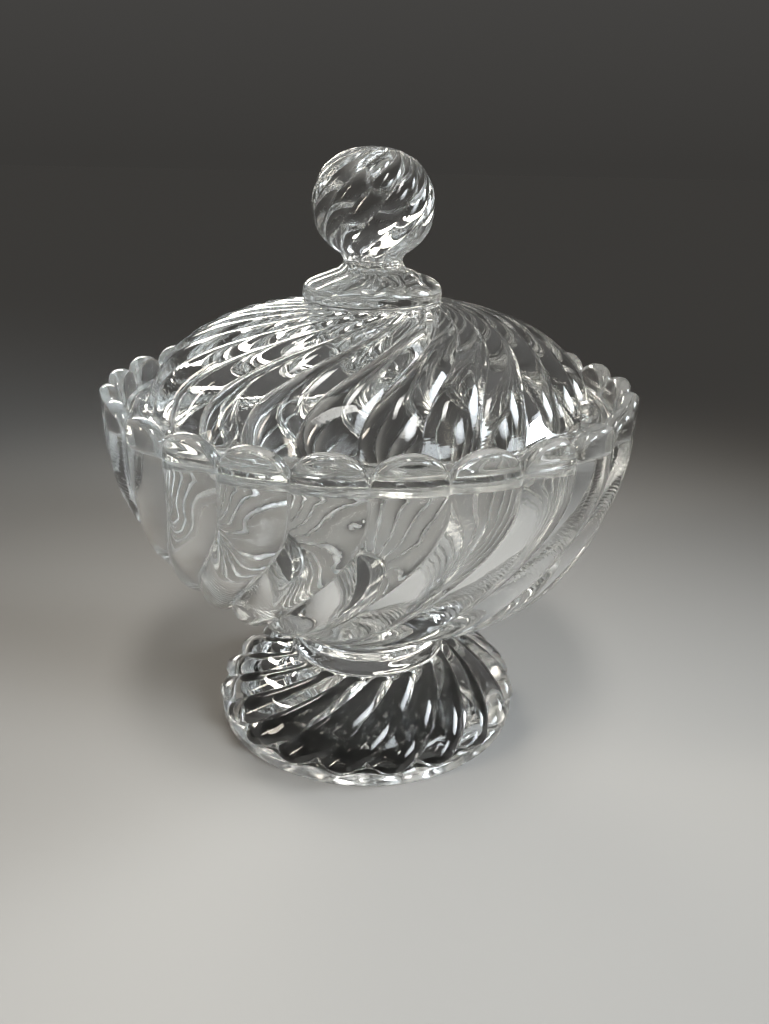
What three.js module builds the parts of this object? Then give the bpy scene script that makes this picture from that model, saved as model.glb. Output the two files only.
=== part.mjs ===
// A covered candy dish of clear pressed glass: a swirl-lobed bowl with a scalloped rim on a low
// lobed foot, and a swirl-lobed lid with a ball finial that rests on a ledge inside the rim.
//
// Units are millimetres and +Z is up. The origin is on the axis, in the plane the foot stands on.
// Every piece is a lathe form whose rings are gathered into convex lobes with sharp grooves between
// them. The rings turn as they climb, so the grooves run to the right going up, on every piece.

import * as THREE from 'three';

// ---- Heights of the faces where pieces meet ----
const FOOT_TOP = 21;
const RING_TOP = 34;
const LEDGE_Z = 98.8;
const DOME_TOP = 128;
const TOTAL_HEIGHT = 167.5;

// ---- Swirl ----
const SWIRL = Math.tan(THREE.MathUtils.degToRad(40)); // slope of a groove against the upright
const FACETS = 4; // straight steps across one lobe
const NEAR_AXIS = THREE.MathUtils.degToRad(80); // where a rounded end's rings stop

// ---- Foot ----
const FOOT_LOBES = 20;
const FOOT_RADIUS = 48; // over the lobes, which swell past the plain rim under them
const FOOT_RIM_RADIUS = 47.4;
const FOOT_RIM_HEIGHT = 3;
const FOOT_BEARING_RADIUS = 42.5; // inner edge of the flat that rests on the table
const FOOT_HOLLOW_HEIGHT = 14;
const FOOT_GROOVE = 2.4;
const FOOT_END_GROOVE = 1.4; // further depth where a lobe ends in a round tip

// ---- Ring between foot and bowl ----
const RING_RADIUS = 24;
const RING_WAIST = 21.6;
const RING_FACETS = 36;

// ---- Bowl ----
const BOWL_LOBES = 26;
const RIM_RADIUS = 74.5;
const RIM_INSIDE = 69.6;
const RIM_NOTCH_Z = 100.8; // bottom of the V between two scallops
const SCALLOP_HEIGHT = 6.8;
const LEDGE_INSIDE = 67;
const BOWL_GROOVE = 2.8;
const RIM_GROOVE_RELIEF = 0.7; // how much shallower the grooves are at the rim
const BOWL_SEAT_RADIUS = 22.6; // of the face that stands on the ring
const BOWL_FLOOR_Z = 41;

// ---- Lid ----
const LID_LOBES = 26;
const DOME_RADIUS = 62.5;
const DOME_BASE_Z = 98; // centre height of the elliptical dome
const DOME_RISE = 30.9;
const DOME_FULLNESS = 2.3; // 2 is a true ellipse, more squares its shoulder
const DOME_GROOVE = 2.1;
const DOME_END_GROOVE = 1;
const LID_TURN = -2.5; // degrees, how the lid lies in its seat
const FLANGE_RADIUS = 68.8;
const FLANGE_THICKNESS = 2.4;
const SKIRT_RADIUS = 66.2;
const SKIRT_DEPTH = 3;
const LID_HOLLOW_RADIUS = 56.8;
const LID_HOLLOW_RISE = 25;
const LID_HOLLOW_Z = 95.5; // centre height of the hollow

// ---- Finial ----
const KNOB_LOBES = 13;
const COLLAR_RADIUS = 19.2;
const COLLAR_TOP = 132.9;
const NECK_RADIUS = 8.1;
const NECK_Z = 138.8;
const BALL_RADIUS = 16.4;
const BALL_Z = 153.2;
const BALL_FULLNESS = 2.2;
const KNOB_GROOVE = 1.2;

// One ring of a lathe form: radius and height at a lobe's crest, depth of the grooves measured
// against the direction [outward, up], angle turned about the axis, and how far a lobe's middle
// rises above its grooves.
function ring(r, z, { depth = 0, turn = 0, rise = 0 } = {}) {
  return { r, z, depth, turn, rise, outward: 1, up: 0 };
}

// Rings along a smooth curve through the given [radius, height] points.
function ringsThrough(points, steps) {
  const curve = new THREE.SplineCurve(points.map(([r, z]) => new THREE.Vector2(r, z)));
  return curve.getPoints(steps).map((place) => ring(place.x, place.y));
}

// Rings along part of an ellipse centred on the axis, between two angles from the horizontal.
// A fullness above 2 squares the ellipse's shoulder.
function ringsOnEllipse(radius, rise, centreZ, from, to, steps, fullness = 2) {
  return Array.from({ length: steps + 1 }, (_, i) => {
    const angle = THREE.MathUtils.lerp(from, to, i / steps);
    const height = Math.sign(angle) * Math.abs(Math.sin(angle)) ** (2 / fullness);
    return ring(radius * Math.cos(angle) ** (2 / fullness), centreZ + rise * height);
  });
}

// The angles at which such an ellipse reaches a given part of its rise or of its radius.
function angleAtHeight(part, fullness) {
  return Math.asin(part ** (fullness / 2));
}

function angleAtRadius(part, fullness) {
  return Math.acos(part ** (fullness / 2));
}

// Grooves cut square to the surface, as deep in proportion to the lobe's width all the way along,
// with a further depth at the first ring. The direction is 1 where the rings climb and -1 where
// they descend.
function groove(rings, direction, depth, atRadius, endDepth = 0) {
  rings.forEach((station, i) => {
    const before = rings[Math.max(i - 1, 0)];
    const after = rings[Math.min(i + 1, rings.length - 1)];
    const length = Math.hypot(after.r - before.r, after.z - before.z) * direction;
    station.outward = (after.z - before.z) / length;
    station.up = (before.r - after.r) / length;
    station.depth = (depth * station.r) / atRadius;
  });
  rings[0].depth += endDepth;
  return rings;
}

// Turns the rings so that the grooves start upright at the first ring and ease into the swirl.
function swirl(rings, direction, easeLength) {
  let run = 0;
  let turn = 0;
  for (let i = 1; i < rings.length; i += 1) {
    const [low, high] = [rings[i - 1], rings[i]];
    const step = Math.hypot(high.r - low.r, high.z - low.z);
    run += step;
    const ease = THREE.MathUtils.smoothstep(run, 0, easeLength);
    turn += (direction * SWIRL * ease * step * 2) / (low.r + high.r);
    high.turn = turn;
  }
  return rings;
}

// A closed solid whose rings run from one point on the axis to another, each ring gathered into
// lobes. The rings are listed so that the surface faces outwards: underside first.
function lobedSolid(bottomZ, rings, topZ, lobes, facets = FACETS) {
  const columns = lobes * facets;
  const positions = [0, 0, bottomZ];
  rings.forEach((station) => {
    for (let j = 0; j < columns; j += 1) {
      const across = (2 * (j % facets)) / facets - 1;
      const cut = station.depth * across * across;
      const radius = station.r - cut * station.outward;
      const angle = (2 * Math.PI * j) / columns - Math.PI / 2 + station.turn;
      const z = station.z - cut * station.up + station.rise * Math.sqrt(1 - across * across);
      positions.push(radius * Math.cos(angle), radius * Math.sin(angle), z);
    }
  });
  positions.push(0, 0, topZ);
  const indices = [];
  const top = 1 + rings.length * columns;
  const at = (i, j) => 1 + i * columns + (j % columns);
  for (let j = 0; j < columns; j += 1) {
    indices.push(0, at(0, j + 1), at(0, j));
    for (let i = 0; i < rings.length - 1; i += 1) {
      indices.push(at(i, j), at(i, j + 1), at(i + 1, j + 1));
      indices.push(at(i, j), at(i + 1, j + 1), at(i + 1, j));
    }
    indices.push(at(rings.length - 1, j), at(rings.length - 1, j + 1), top);
  }
  const geometry = new THREE.BufferGeometry();
  geometry.setAttribute('position', new THREE.Float32BufferAttribute(positions, 3));
  geometry.setIndex(indices);
  geometry.computeVertexNormals();
  return geometry;
}

// Clear glass, each piece of it slightly different where the melt was thicker.
function glass(color) {
  return new THREE.MeshStandardMaterial({ color, roughness: 0.05, metalness: 0 });
}

function piece(name, geometry, color) {
  const mesh = new THREE.Mesh(geometry, glass(color));
  mesh.name = name;
  return mesh;
}

// The foot: a cushion of lobes falling from the ring to a plain rim, hollow underneath.
function footGeometry() {
  const hollow = ringsOnEllipse(
    FOOT_BEARING_RADIUS, FOOT_HOLLOW_HEIGHT, 0, NEAR_AXIS, 0, 3);
  const rim = [
    ring(FOOT_RIM_RADIUS - 0.4, 0),
    ring(FOOT_RIM_RADIUS, 0.5),
    ring(FOOT_RIM_RADIUS, FOOT_RIM_HEIGHT),
  ];
  const lobes = ringsThrough([
    [FOOT_RIM_RADIUS, FOOT_RIM_HEIGHT + 0.3],
    [FOOT_RADIUS, 5.4],
    [45.4, 9.5],
    [38.5, 14.4],
    [31, 18.2],
    [RING_RADIUS + 1.6, FOOT_TOP - 0.2],
  ], 6);
  swirl(groove(lobes, 1, FOOT_GROOVE, FOOT_RADIUS, FOOT_END_GROOVE), 1, 6);
  const top = ring(RING_RADIUS + 0.6, FOOT_TOP, { turn: lobes.at(-1).turn });
  return lobedSolid(FOOT_HOLLOW_HEIGHT, [...hollow, ...rim, ...lobes, top], FOOT_TOP, FOOT_LOBES);
}

// The ring: a plain bead of glass with a waist above it.
function ringGeometry() {
  const outline = ringsThrough([
    [RING_RADIUS, FOOT_TOP],
    [RING_RADIUS, 25.5],
    [RING_WAIST, 29],
    [BOWL_SEAT_RADIUS, RING_TOP],
  ], 6);
  return lobedSolid(FOOT_TOP, outline, RING_TOP, RING_FACETS, 1);
}

// The bowl's lobed outside, from under the scallops down to the ring.
function bowlOutside() {
  const rings = ringsThrough([
    [RIM_RADIUS, 99.5],
    [RIM_RADIUS - 0.5, 89],
    [71, 78],
    [66.2, 66],
    [58.4, 54],
    [47.6, 45.6],
    [34, 38.8],
    [BOWL_SEAT_RADIUS + 1, RING_TOP + 0.4],
  ], 9);
  return swirl(groove(rings, -1, BOWL_GROOVE, RIM_RADIUS, -RIM_GROOVE_RELIEF), -1, 28);
}

// The scalloped rim: the end of each lobe stands up as a rounded arch.
function bowlRim() {
  return [
    ring(RIM_RADIUS - 0.3, RIM_NOTCH_Z, {
      depth: BOWL_GROOVE - RIM_GROOVE_RELIEF, rise: SCALLOP_HEIGHT - 1.3,
    }),
    ring(RIM_RADIUS - 2, RIM_NOTCH_Z + 0.2, { depth: 0.6, rise: SCALLOP_HEIGHT - 0.2 }),
    ring(RIM_INSIDE + 0.5, RIM_NOTCH_Z, { rise: SCALLOP_HEIGHT - 1.3 }),
    ring(RIM_INSIDE, RIM_NOTCH_Z - 0.8),
  ];
}

// The smooth inside: the ledge that the lid rests on, then the wall down to the floor.
function bowlInside() {
  const ledge = [ring(RIM_INSIDE, LEDGE_Z), ring(LEDGE_INSIDE, LEDGE_Z)];
  const wall = ringsThrough([
    [LEDGE_INSIDE - 0.1, LEDGE_Z - 1.5],
    [66.3, 88],
    [63.7, 77],
    [59.3, 67],
    [51.8, 57.5],
    [40.5, 49.5],
    [27, 44],
    [12, BOWL_FLOOR_Z + 0.5],
  ], 7);
  return [...ledge, ...wall];
}

function bowlGeometry() {
  const outside = bowlOutside().reverse();
  const seat = ring(BOWL_SEAT_RADIUS, RING_TOP, { turn: outside[0].turn });
  const rings = [seat, ...outside, ...bowlRim(), ...bowlInside()];
  return lobedSolid(RING_TOP, rings, BOWL_FLOOR_Z, BOWL_LOBES);
}

// The lid's dome: lobes on an elliptical dome, a flange that rests on the ledge, and a skirt
// that keeps the lid from sliding off it.
function domeGeometry() {
  const hollow = ringsOnEllipse(
    LID_HOLLOW_RADIUS, LID_HOLLOW_RISE, LID_HOLLOW_Z, NEAR_AXIS, 0.1, 4, DOME_FULLNESS);
  const skirtBottom = LEDGE_Z - SKIRT_DEPTH;
  const skirt = [
    ring(LID_HOLLOW_RADIUS + 1.5, skirtBottom),
    ring(SKIRT_RADIUS - 0.5, skirtBottom),
    ring(SKIRT_RADIUS, skirtBottom + 1),
    ring(SKIRT_RADIUS, LEDGE_Z),
  ];
  const flangeTop = LEDGE_Z + FLANGE_THICKNESS;
  const flange = [
    ring(FLANGE_RADIUS, LEDGE_Z),
    ring(FLANGE_RADIUS, flangeTop - 0.6),
    ring(FLANGE_RADIUS - 0.8, flangeTop),
  ];
  const edgeAngle = angleAtHeight((flangeTop + 0.2 - DOME_BASE_Z) / DOME_RISE, DOME_FULLNESS);
  const topAngle = angleAtHeight((DOME_TOP - 0.1 - DOME_BASE_Z) / DOME_RISE, DOME_FULLNESS);
  const lobes = ringsOnEllipse(
    DOME_RADIUS, DOME_RISE, DOME_BASE_Z, edgeAngle, topAngle, 7, DOME_FULLNESS);
  swirl(groove(lobes, 1, DOME_GROOVE, DOME_RADIUS, DOME_END_GROOVE), 1, 24);
  const seat = ring(COLLAR_RADIUS - 1.2, DOME_TOP, { turn: lobes.at(-1).turn });
  const rings = [...hollow, ...skirt, ...flange, ...lobes, seat];
  return lobedSolid(LID_HOLLOW_Z + LID_HOLLOW_RISE, rings, DOME_TOP, LID_LOBES);
}

// The finial: a round collar that flares up into a neck, and a swirl-lobed ball.
function finialGeometry() {
  const collar = ringsThrough([
    [COLLAR_RADIUS - 0.3, DOME_TOP],
    [COLLAR_RADIUS, DOME_TOP + 2.5],
    [COLLAR_RADIUS - 0.7, COLLAR_TOP],
    [13.1, 135.6],
    [NECK_RADIUS, NECK_Z],
  ], 6);
  const neckAngle = -angleAtRadius((NECK_RADIUS + 0.9) / BALL_RADIUS, BALL_FULLNESS);
  const ballRise = TOTAL_HEIGHT - BALL_Z;
  const ball = ringsOnEllipse(
    BALL_RADIUS, ballRise, BALL_Z, neckAngle, NEAR_AXIS, 8, BALL_FULLNESS);
  swirl(groove(ball, 1, KNOB_GROOVE, BALL_RADIUS), 1, 6);
  return lobedSolid(DOME_TOP, [...collar, ...ball], TOTAL_HEIGHT, KNOB_LOBES);
}

const dish = new THREE.Group();
dish.name = 'candy_dish';
dish.add(
  piece('foot', footGeometry(), 0xe9efee),
  piece('stem_ring', ringGeometry(), 0xe4ebea),
  piece('bowl', bowlGeometry(), 0xecf1f0),
);
const lid = new THREE.Group();
lid.name = 'lid';
lid.rotation.z = THREE.MathUtils.degToRad(LID_TURN);
lid.add(
  piece('lid_dome', domeGeometry(), 0xeef2f1),
  piece('finial', finialGeometry(), 0xe6edec),
);
dish.add(lid);

export default dish;
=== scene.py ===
"""A covered candy dish of clear pressed glass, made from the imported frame.

The footed bowl and the lid are each one seamless lathe form. Their rings are gathered into convex
lobes with sharp grooves, and they turn as they climb, which makes the swirl. Lengths in the shape
sections are millimetres, as in the CAD model, and become metres when a mesh is made.
"""
import math

import bpy
import numpy as np
from mathutils import Matrix, Vector


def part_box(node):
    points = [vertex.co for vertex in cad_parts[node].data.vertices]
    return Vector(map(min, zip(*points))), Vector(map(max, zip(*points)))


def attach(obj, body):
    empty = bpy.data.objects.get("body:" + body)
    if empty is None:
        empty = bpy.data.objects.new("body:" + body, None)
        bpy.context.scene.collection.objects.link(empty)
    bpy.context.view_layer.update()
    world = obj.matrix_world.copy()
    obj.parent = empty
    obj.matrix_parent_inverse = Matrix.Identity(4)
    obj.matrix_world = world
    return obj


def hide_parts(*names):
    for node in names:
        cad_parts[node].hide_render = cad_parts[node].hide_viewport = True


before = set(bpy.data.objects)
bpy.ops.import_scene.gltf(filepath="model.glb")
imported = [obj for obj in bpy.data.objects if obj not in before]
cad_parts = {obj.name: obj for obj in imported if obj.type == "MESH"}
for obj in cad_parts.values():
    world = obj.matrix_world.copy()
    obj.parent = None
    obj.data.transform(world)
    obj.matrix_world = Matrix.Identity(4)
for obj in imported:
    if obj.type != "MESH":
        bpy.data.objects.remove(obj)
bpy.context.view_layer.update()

MM = 0.001
COLUMNS = 520  # vertices round every ring: a whole number for each lobe of each part
UNEVENNESS = 0.05


def low(node):
    """Lowest height of a CAD node, in millimetres."""
    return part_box(node)[0][2] / MM


def high(node):
    """Greatest height of a CAD node, in millimetres."""
    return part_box(node)[1][2] / MM


def radius_of(node):
    """Greatest radius of a CAD node, in millimetres."""
    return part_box(node)[1][0] / MM


# ---- Driving dimensions ----
SWIRL = math.tan(math.radians(40))  # slope of a groove against the upright

FOOT_LOBES = 20
FOOT_RADIUS = 48.0
FOOT_RIM_RADIUS = 47.4
FOOT_TOP = high("foot")
FOOT_RIM_HEIGHT = 3.0
FOOT_BEARING_RADIUS = 41.5
FOOT_HOLLOW_HEIGHT = 14.0
FOOT_GROOVE = 2.4
STAND_GAP = 0.08  # air left between foot and floor, so that each shows its own surface

RING_RADIUS = 24.0
RING_WAIST = 21.6
RING_TOP = high("stem_ring")

BOWL_LOBES = 26
RIM_RADIUS = radius_of("bowl")
RIM_INSIDE = 69.6
RIM_NOTCH_Z = 100.8
SCALLOP_HEIGHT = 6.8
LEDGE_Z = 98.8
LEDGE_INSIDE = 67.0
BOWL_GROOVE = 2.8
RIM_GROOVE_RELIEF = 0.7
RIM_GROOVE = BOWL_GROOVE - RIM_GROOVE_RELIEF
BOWL_SEAT_RADIUS = 22.6
BOWL_FLOOR_Z = 41.0

LID_LOBES = 26
DOME_RADIUS = 62.5
DOME_BASE_Z = 98.0
DOME_RISE = 30.9
DOME_FULLNESS = 2.3
LID_TURN = math.radians(-2.5)  # where the lid happens to lie in its seat
DOME_TOP = high("lid_dome")
DOME_GROOVE = 2.1
FLANGE_RADIUS = 68.8
FLANGE_THICKNESS = 2.4
SKIRT_RADIUS = 66.2
SKIRT_BOTTOM = low("lid_dome")
LID_HOLLOW_RADIUS = 56.8
LID_HOLLOW_RISE = 25.0
LID_HOLLOW_Z = 95.5
SEAT_GAP = 0.05  # air left between lid and ledge

KNOB_LOBES = 13
COLLAR_RADIUS = 19.2
COLLAR_TOP = 132.9
NECK_RADIUS = 8.1
NECK_Z = 138.8
BALL_RADIUS = 16.4
BALL_Z = 153.2
BALL_FULLNESS = 2.2
KNOB_GROOVE = 1.2
COLLAR_GROOVE = 0.7
TOTAL_HEIGHT = high("finial")
SEAM_TURN = math.radians(-4)  # where the halves of the finial's mould met
SEAM_HEIGHT = 0.15
SEAM_WIDTH = 0.28


# ---- Shape tools: a band is a list of rings, from one end of a stretch of outline to the other ----
def band(r, z, lobes, **parts):
    """A band of rings: radius and height at the crests, and per-ring depth, turn and rise."""
    r, z = np.broadcast_arrays(np.atleast_1d(np.asarray(r, float)), np.asarray(z, float))
    made = {"r": r.copy(), "z": z.copy(), "lobes": np.full(len(r), lobes)}
    for name in ("depth", "turn", "rise"):
        made[name] = np.broadcast_to(np.asarray(parts.get(name, 0.0), float), r.shape).copy()
    made["outward"], made["up"] = np.ones(len(r)), np.zeros(len(r))
    return made


def spline(points, steps):
    """Catmull-Rom curve through [r, z] points, with steps + 1 places along it."""
    knots = np.array(points, float)
    knots = np.vstack([knots[0], knots, knots[-1]])
    t = np.linspace(0, len(points) - 1, steps + 1)
    i = np.minimum(t.astype(int), len(points) - 2)
    w = (t - i)[:, None]
    a, b, c, d = knots[i], knots[i + 1], knots[i + 2], knots[i + 3]
    v0, v1 = (c - a) / 2, (d - b) / 2
    return (2 * b - 2 * c + v0 + v1) * w**3 + (3 * c - 3 * b - 2 * v0 - v1) * w**2 + v0 * w + b


def through(points, steps, lobes, **parts):
    curve = spline(points, steps)
    return band(curve[:, 0], curve[:, 1], lobes, **parts)


def on_ellipse(radius, rise, centre_z, start, end, steps, lobes, fullness=2.0, **parts):
    """Part of an ellipse round the axis; a fullness above 2 squares its shoulder."""
    angle = np.linspace(start, end, steps + 1)
    r = radius * np.cos(angle) ** (2 / fullness)
    z = centre_z + rise * np.abs(np.sin(angle)) ** (2 / fullness) * np.sign(np.sin(angle))
    return band(r, z, lobes, **parts)


def run_along(rings):
    """Distance along the outline from the band's first ring."""
    steps = np.hypot(np.diff(rings["r"]), np.diff(rings["z"]))
    return np.concatenate([[0.0], np.cumsum(steps)])


def smooth(x):
    x = np.clip(x, 0, 1)
    return x * x * (3 - 2 * x)


def groove(rings, direction, depth, at_radius, end_depth=0.0, end_length=3.0):
    """Grooves cut square to the surface, in proportion to a lobe's width, with a further depth
    that fades away from the first ring. The direction is 1 where the rings climb, or -1."""
    along_r, along_z = np.gradient(rings["r"]), np.gradient(rings["z"])
    length = np.hypot(along_r, along_z) * direction
    rings["outward"], rings["up"] = along_z / length, -along_r / length
    rings["depth"] = depth * rings["r"] / at_radius
    rings["depth"] += end_depth * np.exp(-run_along(rings) / end_length)
    return rings


def swirl(rings, direction, ease_length):
    """Turns the rings: upright at the first one, then easing into the swirl."""
    run = run_along(rings)
    middle = (rings["r"][1:] + rings["r"][:-1]) / 2
    slope = direction * SWIRL * smooth(run[1:] / ease_length)
    rings["turn"] = np.concatenate([[0.0], np.cumsum(slope * np.diff(run) / middle)])
    return rings


def turned(rings, angle):
    rings["turn"] = rings["turn"] + angle
    return rings


def reverse(rings):
    return {name: values[::-1].copy() for name, values in rings.items()}


def across_lobes(lobes):
    """Place of each column in its lobe, -1 and 1 at the grooves, with columns gathered there."""
    per_lobe = COLUMNS // lobes
    even = 2 * (np.arange(COLUMNS) % per_lobe) / per_lobe - 1
    return 0.55 * np.sin(even * math.pi / 2) + 0.45 * even


def ring_points(r, z, lobes, depth, turn, rise, outward, up):
    """The vertices of one ring."""
    across = across_lobes(lobes)
    lobe = np.arange(COLUMNS) // (COLUMNS // lobes)
    angle = 2 * math.pi * (lobe + (across + 1) / 2) / lobes - math.pi / 2 + turn
    cut = depth * across**2
    radius = r - cut * outward
    height = z - cut * up + rise * np.sqrt(1 - across**2)
    return np.column_stack([radius * np.cos(angle), radius * np.sin(angle), height])


def ripple(points):
    """Slight unevenness of pressed glass, as a radial shift that is a smooth function of place."""
    angle = np.arctan2(points[..., 1], points[..., 0])
    z = points[..., 2]
    wave = np.sin(3 * angle + z / 9) + 0.8 * np.sin(5 * angle - z / 6.3 + 1.1)
    wave += 0.6 * np.sin(11 * angle + z / 4.1 + 2.3) + 0.4 * np.sin(17 * angle - z / 2.9 + 0.7)
    fade = smooth((np.hypot(points[..., 0], points[..., 1]) - 3) / 12)
    scale = 1 + UNEVENNESS * fade * wave / np.maximum(np.hypot(points[..., 0], points[..., 1]), 1)
    points[..., 0] *= scale
    points[..., 1] *= scale
    return points


def mould_seam(points):
    """A fine upright ridge at the front and back of the finial."""
    x, y, z = np.moveaxis(points, -1, 0)
    across = x * math.cos(SEAM_TURN) + y * math.sin(SEAM_TURN)
    ridge = SEAM_HEIGHT * np.exp(-(across / SEAM_WIDTH) ** 2) * smooth((z - COLLAR_TOP) / 4)
    scale = 1 + ridge / np.maximum(np.hypot(x, y), 1)
    points[..., 0] *= scale
    points[..., 1] *= scale
    return points


def lobed_mesh(name, bottom_z, bands, top_z):
    """One closed mesh from a pole on the axis, through all rings, to another pole."""
    rows = {key: np.concatenate([one[key] for one in bands]) for key in bands[0]}
    count = len(rows["r"])
    rings = np.array([
        ring_points(**{key: values[i] for key, values in rows.items()}) for i in range(count)
    ])
    rings = mould_seam(ripple(rings))
    points = np.vstack([[0, 0, bottom_z], rings.reshape(-1, 3), [0, 0, top_z]]) * MM
    place = 1 + np.arange(count * COLUMNS).reshape(count, COLUMNS)
    after = np.roll(place, -1, axis=1)
    quads = np.stack([place[:-1], after[:-1], after[1:], place[1:]], -1).reshape(-1, 4)
    last = count * COLUMNS + 1
    bottom = [(0, b, a) for a, b in zip(place[0].tolist(), after[0].tolist())]
    top = [(a, b, last) for a, b in zip(place[-1].tolist(), after[-1].tolist())]
    mesh = bpy.data.meshes.new(name)
    mesh.from_pydata(points.tolist(), [], quads.tolist() + bottom + top)
    mesh.polygons.foreach_set("use_smooth", np.ones(len(mesh.polygons), bool))
    mesh.update()
    piece = bpy.data.objects.new(name, mesh)
    bpy.context.scene.collection.objects.link(piece)
    return piece


# ---- The footed bowl ----
def foot_bands():
    """Underside, plain rim and lobed top of the foot."""
    hollow = on_ellipse(FOOT_BEARING_RADIUS, FOOT_HOLLOW_HEIGHT, 0.3, math.pi / 2.05, 0.0, 14, FOOT_LOBES)
    rim = through([
        [FOOT_BEARING_RADIUS + 0.3, 0.05],
        [FOOT_BEARING_RADIUS + 1.2, 0.0],
        [FOOT_RIM_RADIUS - 0.5, 0.0],
        [FOOT_RIM_RADIUS - 0.1, 0.4],
        [FOOT_RIM_RADIUS, FOOT_RIM_HEIGHT - 0.7],
        [FOOT_RIM_RADIUS - 0.4, FOOT_RIM_HEIGHT],
    ], 14, FOOT_LOBES)
    rim["z"] = np.maximum(rim["z"], STAND_GAP)
    lobes = through([
        [FOOT_RIM_RADIUS - 0.4, FOOT_RIM_HEIGHT + 0.1],
        [FOOT_RADIUS - 0.4, 4.0],
        [FOOT_RADIUS, 5.4],
        [45.4, 9.5],
        [38.5, 14.4],
        [31, 18.2],
        [RING_RADIUS + 1.6, FOOT_TOP - 0.2],
    ], 40, FOOT_LOBES)
    swirl(groove(lobes, 1, FOOT_GROOVE, FOOT_RADIUS, end_depth=1.9, end_length=3.6), 1, 6)
    return [hollow, rim, lobes]


def ring_bands():
    """The plain bead between foot and bowl, with a waist above it."""
    return [through([
        [RING_RADIUS + 0.4, FOOT_TOP],
        [RING_RADIUS - 0.1, FOOT_TOP + 0.5],
        [RING_RADIUS, 23],
        [RING_RADIUS - 0.2, 26],
        [RING_RADIUS - 0.9, 27],
        [RING_WAIST, 29],
        [BOWL_SEAT_RADIUS, RING_TOP],
    ], 26, BOWL_LOBES)]


def bowl_outside():
    rings = through([
        [RIM_RADIUS, 98.0],
        [RIM_RADIUS - 0.5, 89],
        [71, 78],
        [66.2, 66],
        [58.4, 54],
        [47.6, 45.6],
        [34, 38.8],
        [BOWL_SEAT_RADIUS + 1, RING_TOP + 0.4],
    ], 62, BOWL_LOBES)
    groove(rings, -1, BOWL_GROOVE, RIM_RADIUS, end_depth=-RIM_GROOVE_RELIEF, end_length=12)
    return reverse(swirl(rings, -1, 28))


def rim_bands():
    """The scalloped rim: each lobe's end stands up as an arch with a rounded edge."""
    half = (RIM_RADIUS - RIM_INSIDE) / 2
    roll_height = 1.7
    base = 98.0
    crown = RIM_NOTCH_Z - roll_height
    up = np.linspace(0, 1, 8)[1:-1]
    wall = band(RIM_RADIUS, base + (crown - base) * up, BOWL_LOBES,
                depth=RIM_GROOVE, rise=SCALLOP_HEIGHT * up)
    angle = np.linspace(0, math.pi, 13)
    roll = band(RIM_INSIDE + half * (1 + np.cos(angle)), crown + roll_height * np.sin(angle),
                BOWL_LOBES, depth=RIM_GROOVE * (1 + np.cos(angle)) / 2, rise=SCALLOP_HEIGHT)
    down = np.linspace(1, 0, 7)[1:]
    foot_of_wall = LEDGE_Z + 0.1
    inner = band(RIM_INSIDE, foot_of_wall + (crown - foot_of_wall) * down, BOWL_LOBES,
                 rise=SCALLOP_HEIGHT * down)
    return [wall, roll, inner]


def bowl_inside():
    """The ledge that carries the lid and the smooth wall down to the floor."""
    ledge = through([
        [RIM_INSIDE - 0.15, LEDGE_Z - SEAT_GAP],
        [LEDGE_INSIDE + 0.3, LEDGE_Z - SEAT_GAP],
        [LEDGE_INSIDE, LEDGE_Z - 0.4],
    ], 5, BOWL_LOBES)
    wall = through([
        [LEDGE_INSIDE - 0.1, LEDGE_Z - 1.5],
        [66.3, 88],
        [63.7, 77],
        [59.3, 67],
        [51.8, 57.5],
        [40.5, 49.5],
        [27, 44],
        [12, BOWL_FLOOR_Z + 0.5],
        [2, BOWL_FLOOR_Z + 0.02],
    ], 36, BOWL_LOBES)
    return [ledge, wall]


def make_footed_bowl():
    foot = foot_bands()
    ring = ring_bands()
    outside = bowl_outside()
    foot_turn = foot[-1]["turn"][-1]
    ring[0]["turn"] = np.linspace(foot_turn, outside["turn"][0], len(ring[0]["r"]))
    bands = [*foot, *ring, outside, *rim_bands(), *bowl_inside()]
    piece = lobed_mesh("footed_bowl", FOOT_HOLLOW_HEIGHT + 0.3, bands, BOWL_FLOOR_Z)
    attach(piece, "base")
    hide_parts("foot", "stem_ring", "bowl")
    return piece


# ---- The lid ----
def lid_underside():
    """Hollow, skirt and flange, up to where the lobes start."""
    hollow = on_ellipse(LID_HOLLOW_RADIUS, LID_HOLLOW_RISE, LID_HOLLOW_Z,
                        math.pi / 2.05, 0.05, 26, LID_LOBES, fullness=DOME_FULLNESS)
    seat = LEDGE_Z + SEAT_GAP
    skirt = through([
        [LID_HOLLOW_RADIUS + 0.6, SKIRT_BOTTOM + 0.5],
        [LID_HOLLOW_RADIUS + 2, SKIRT_BOTTOM],
        [SKIRT_RADIUS - 1.4, SKIRT_BOTTOM],
        [SKIRT_RADIUS - 0.2, SKIRT_BOTTOM + 0.8],
        [SKIRT_RADIUS, seat - 0.3],
        [SKIRT_RADIUS + 0.3, seat],
    ], 14, LID_LOBES)
    top = LEDGE_Z + FLANGE_THICKNESS
    flange = through([
        [FLANGE_RADIUS - 0.5, seat],
        [FLANGE_RADIUS, seat + 0.5],
        [FLANGE_RADIUS, top - 0.8],
        [FLANGE_RADIUS - 0.8, top],
        [DOME_RADIUS + 0.7, top],
    ], 12, LID_LOBES)
    return [hollow, skirt, flange]


def lid_lobes():
    power = DOME_FULLNESS / 2
    edge = math.asin(((LEDGE_Z + FLANGE_THICKNESS + 0.1 - DOME_BASE_Z) / DOME_RISE) ** power)
    top = math.acos(((COLLAR_RADIUS - 0.8) / DOME_RADIUS) ** power)
    rings = on_ellipse(DOME_RADIUS, DOME_RISE, DOME_BASE_Z, edge, top, 58, LID_LOBES,
                       fullness=DOME_FULLNESS)
    return swirl(groove(rings, 1, DOME_GROOVE, DOME_RADIUS, end_depth=1.2), 1, 24)


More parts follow.
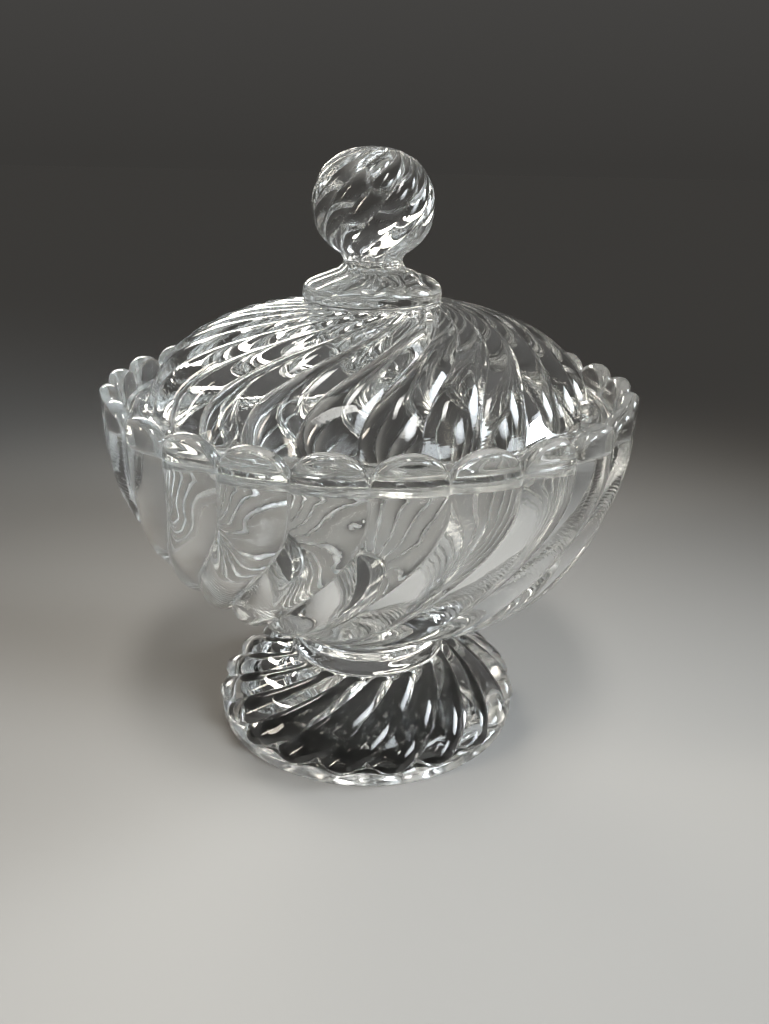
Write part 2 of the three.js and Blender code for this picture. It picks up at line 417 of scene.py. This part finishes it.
def finial_bands():
    """Collar with a wavy upper edge, flare, neck and swirl-lobed ball."""
    wall = through([
        [COLLAR_RADIUS - 0.5, DOME_TOP + 0.1],
        [COLLAR_RADIUS, DOME_TOP + 0.9],
        [COLLAR_RADIUS, COLLAR_TOP - 1.6],
    ], 8, KNOB_LOBES)
    flare = through([
        [COLLAR_RADIUS - 0.1, COLLAR_TOP - 1.2],
        [COLLAR_RADIUS - 0.7, COLLAR_TOP],
        [17, 134],
        [13.1, 135.6],
        [9.6, 137],
        [NECK_RADIUS, NECK_Z],
        [NECK_RADIUS + 0.35, NECK_Z + 1],
    ], 26, KNOB_LOBES)
    groove(flare, 1, COLLAR_GROOVE, COLLAR_RADIUS)
    flare["depth"] *= smooth(run_along(flare) / 2.5)
    neck_angle = -math.acos(((NECK_RADIUS + 1.1) / BALL_RADIUS) ** (BALL_FULLNESS / 2))
    ball = on_ellipse(BALL_RADIUS, TOTAL_HEIGHT - BALL_Z, BALL_Z, neck_angle,
                      math.pi / 2.03, 56, KNOB_LOBES, fullness=BALL_FULLNESS)
    groove(ball, 1, KNOB_GROOVE, BALL_RADIUS)
    ball["depth"] *= smooth(ball["r"] / 4)
    return wall, flare, ball


def make_lid():
    lobes = lid_lobes()
    wall, flare, ball = finial_bands()
    swirl(ball, 1, 6)
    turned(wall, lobes["turn"][-1])
    flare["turn"] = lobes["turn"][-1] + 0.35 * smooth(run_along(flare) / 14)
    turned(ball, flare["turn"][-1])
    bands = [*lid_underside(), lobes, wall, flare, ball]
    for rings in bands:
        turned(rings, LID_TURN)
    bottom = LID_HOLLOW_Z + LID_HOLLOW_RISE
    piece = lobed_mesh("lid", bottom, bands, TOTAL_HEIGHT)
    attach(piece, "lid")
    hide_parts("lid_dome", "finial")
    return piece


# ---- Material: heights, distances and noise scales are in metres here ----
GLASS_COLOUR = (0.985, 0.992, 0.988, 1)
GLASS_IOR = 1.52
TINT_COLOUR, TINT_DENSITY = (0.78, 0.88, 0.84, 1), 1.6
HAZE_SCALE, HAZE_ROUGHNESS = 38.0, 0.05
SCUFF_SCALE, SCUFF_ROUGHNESS = 700.0, 0.45
WORN_HEIGHT = 0.0006  # how far up the foot's rim the table has scuffed it
WAVES_SCALE, WAVES_HEIGHT = 70.0, 0.0006
CHILL_SCALE, CHILL_HEIGHT = 420.0, 0.0002
RINGS_SCALE, RINGS_HEIGHT = 310.0, 0.00002


def link(tree, source, output, target, socket):
    tree.links.new(source.outputs[output], target.inputs[socket])


def node(tree, kind, **values):
    made = tree.nodes.new(kind)
    for key, value in values.items():
        if key in made.inputs:
            made.inputs[key].default_value = value
        else:
            setattr(made, key, value)
    return made


def noise(tree, place, scale, detail, distortion=0.0):
    made = node(tree, "ShaderNodeTexNoise", Scale=scale, Detail=detail, Distortion=distortion)
    link(tree, place, "Object", made, "Vector")
    return made


def map_range(tree, source, output, low_in, high_in, low_out, high_out):
    made = node(tree, "ShaderNodeMapRange")
    for socket, value in ((1, low_in), (2, high_in), (3, low_out), (4, high_out)):
        made.inputs[socket].default_value = value
    link(tree, source, output, made, "Value")
    return made


def plunger_rings(tree, place):
    """Fine rings that the turned plunger left on the inside walls, where they face the axis."""
    rings = node(tree, "ShaderNodeTexWave", wave_type="BANDS", bands_direction="Z",
                 wave_profile="SIN", Scale=RINGS_SCALE, Distortion=9.0, Detail=1.0)
    rings.inputs["Detail Scale"].default_value = 0.2
    rings.inputs["Detail Roughness"].default_value = 0.5
    link(tree, place, "Object", rings, "Vector")
    flat = node(tree, "ShaderNodeVectorMath", operation="MULTIPLY")
    link(tree, place, "Object", flat, 0)
    flat.inputs[1].default_value = (1, 1, 0)
    outward = node(tree, "ShaderNodeVectorMath", operation="NORMALIZE")
    link(tree, flat, "Vector", outward, 0)
    facing = node(tree, "ShaderNodeVectorMath", operation="DOT_PRODUCT")
    link(tree, outward, "Vector", facing, 0)
    link(tree, place, "Normal", facing, 1)
    inside = map_range(tree, facing, "Value", -0.45, -0.2, 1.0, 0.0)
    masked = node(tree, "ShaderNodeMath", operation="MULTIPLY")
    link(tree, rings, "Fac", masked, 0)
    link(tree, inside, "Result", masked, 1)
    return masked


def clear_glass():
    """Fire-polished pressed glass: faintly wavy, a little hazy, and scuffed where it stands."""
    material = bpy.data.materials.new("clear_pressed_glass")
    material.use_nodes = True
    tree = material.node_tree
    shader = tree.nodes["Principled BSDF"]
    shader.inputs["Base Color"].default_value = GLASS_COLOUR
    shader.inputs["Transmission Weight"].default_value = 1.0
    shader.inputs["IOR"].default_value = GLASS_IOR
    place = node(tree, "ShaderNodeTexCoord")

    haze = noise(tree, place, HAZE_SCALE, 6.0, 0.6)
    rough = map_range(tree, haze, "Fac", 0.42, 0.78, 0.0, HAZE_ROUGHNESS)
    height = node(tree, "ShaderNodeSeparateXYZ")
    link(tree, place, "Object", height, "Vector")
    worn = map_range(tree, height, "Z", 0.0, WORN_HEIGHT, SCUFF_ROUGHNESS, 0.0)
    scuffs = noise(tree, place, SCUFF_SCALE, 3.0)
    scuffed = node(tree, "ShaderNodeMath", operation="MULTIPLY_ADD")
    for socket, (source, output) in enumerate(((worn, "Result"), (scuffs, "Fac"), (rough, "Result"))):
        link(tree, source, output, scuffed, socket)
    link(tree, scuffed, "Value", shader, "Roughness")

    wave_bump = node(tree, "ShaderNodeBump", Strength=0.25, Distance=WAVES_HEIGHT)
    link(tree, noise(tree, place, WAVES_SCALE, 1.5), "Fac", wave_bump, "Height")
    chill_bump = node(tree, "ShaderNodeBump", Strength=0.05, Distance=CHILL_HEIGHT)
    link(tree, noise(tree, place, CHILL_SCALE, 2.0), "Fac", chill_bump, "Height")
    link(tree, wave_bump, "Normal", chill_bump, "Normal")
    ring_bump = node(tree, "ShaderNodeBump", Strength=1.0, Distance=RINGS_HEIGHT)
    link(tree, plunger_rings(tree, place), "Value", ring_bump, "Height")
    link(tree, chill_bump, "Normal", ring_bump, "Normal")
    link(tree, ring_bump, "Normal", shader, "Normal")

    tint = node(tree, "ShaderNodeVolumeAbsorption", Color=TINT_COLOUR, Density=TINT_DENSITY)
    link(tree, tint, "Volume", tree.nodes["Material Output"], "Volume")
    return material


# ---- Floor, light and camera, in metres ----
AIM = Vector((0, -0.10, 0.05))  # just in front of the dish, so that the far floor falls dark
GRID_SPREAD = math.radians(42)
CAMERA_AWAY, CAMERA_HEIGHT = 0.2403, 0.1643
CAMERA_DOWN, CAMERA_RIGHT, CAMERA_ROLL = 0.393, 0.0193, 0.021
CAMERA_LENS = 29.88


def make_floor():
    bpy.ops.mesh.primitive_plane_add(size=24, location=(0, 0, 0))
    floor = bpy.context.object
    floor.name = "floor"
    material = bpy.data.materials.new("pale_floor")
    material.use_nodes = True
    shader = material.node_tree.nodes["Principled BSDF"]
    shader.inputs["Base Color"].default_value = (0.42, 0.408, 0.388, 1)
    shader.inputs["Roughness"].default_value = 0.85
    floor.data.materials.append(material)


def softbox(name, azimuth, elevation, distance, width, height, power, color):
    """A softbox with a grid. Azimuth 0 is the viewer's side and 90 the right."""
    a, e = math.radians(azimuth), math.radians(elevation)
    away = Vector((math.sin(a) * math.cos(e), -math.cos(a) * math.cos(e), math.sin(e)))
    data = bpy.data.lights.new(name, "AREA")
    data.shape = "RECTANGLE"
    data.size, data.size_y, data.energy, data.color = width, height, power, color
    data.spread = GRID_SPREAD
    light = bpy.data.objects.new(name, data)
    light.location = AIM + away * distance
    light.rotation_euler = away.to_track_quat("Z", "Y").to_euler()
    light.visible_camera = False
    bpy.context.scene.collection.objects.link(light)


def make_world():
    """Grey surroundings, darker overhead, so that the glass has something to show."""
    world = bpy.data.worlds.new("studio")
    world.use_nodes = True
    bpy.context.scene.world = world
    tree = world.node_tree
    place = node(tree, "ShaderNodeTexCoord")
    split = node(tree, "ShaderNodeSeparateXYZ")
    link(tree, place, "Generated", split, "Vector")
    ramp = node(tree, "ShaderNodeValToRGB")
    stops = ramp.color_ramp.elements
    stops[0].position, stops[0].color = 0.0, (0.0425, 0.0407, 0.038, 1)
    stops[1].position, stops[1].color = 0.7, (0.106, 0.104, 0.101, 1)
    link(tree, split, "Z", ramp, "Fac")
    link(tree, ramp, "Color", tree.nodes["Background"], "Color")


def make_camera():
    data = bpy.data.cameras.new("camera")
    data.lens, data.sensor_width = CAMERA_LENS, 36
    data.clip_start, data.clip_end = 0.01, 30
    camera = bpy.data.objects.new("camera", data)
    forward = Vector((
        math.sin(CAMERA_RIGHT) * math.cos(CAMERA_DOWN),
        math.cos(CAMERA_RIGHT) * math.cos(CAMERA_DOWN),
        -math.sin(CAMERA_DOWN),
    ))
    side = Vector((math.cos(CAMERA_RIGHT), -math.sin(CAMERA_RIGHT), 0))
    above = side.cross(forward)
    right = math.cos(CAMERA_ROLL) * side + math.sin(CAMERA_ROLL) * above
    up = math.cos(CAMERA_ROLL) * above - math.sin(CAMERA_ROLL) * side
    turn = Matrix((right, up, -forward)).transposed().to_4x4()
    camera.matrix_world = Matrix.Translation((0, -CAMERA_AWAY, CAMERA_HEIGHT)) @ turn
    bpy.context.scene.collection.objects.link(camera)
    bpy.context.scene.camera = camera


def set_light_paths():
    """Enough bounces to see through every wall, and a plain soft shadow without caustics."""
    cycles = bpy.context.scene.cycles
    cycles.max_bounces = 24
    cycles.transmission_bounces = 24
    cycles.glossy_bounces = 12
    cycles.caustics_refractive = False
    cycles.use_denoising = True
    bpy.context.scene.view_settings.view_transform = "Standard"


make_camera()
make_floor()
make_world()
softbox("window", 58, 30, 0.8, 0.36, 0.36, 0.44, (0.89, 0.95, 1.0))
softbox("side_window", 104, 26, 0.8, 0.24, 0.36, 0.34, (0.89, 0.95, 1.0))
softbox("left_strip", -75, 26, 0.8, 0.08, 0.50, 0.18, (1.0, 0.91, 0.79))
softbox("overhead", 4, 77, 0.8, 0.12, 0.46, 0.21, (1.0, 0.98, 0.94))
softbox("rear_strip", 200, 22, 0.9, 0.50, 0.10, 0.23, (1.0, 0.95, 0.86))
set_light_paths()

glass = clear_glass()
for dish_piece in (make_footed_bowl(), make_lid()):
    dish_piece.data.materials.append(glass)
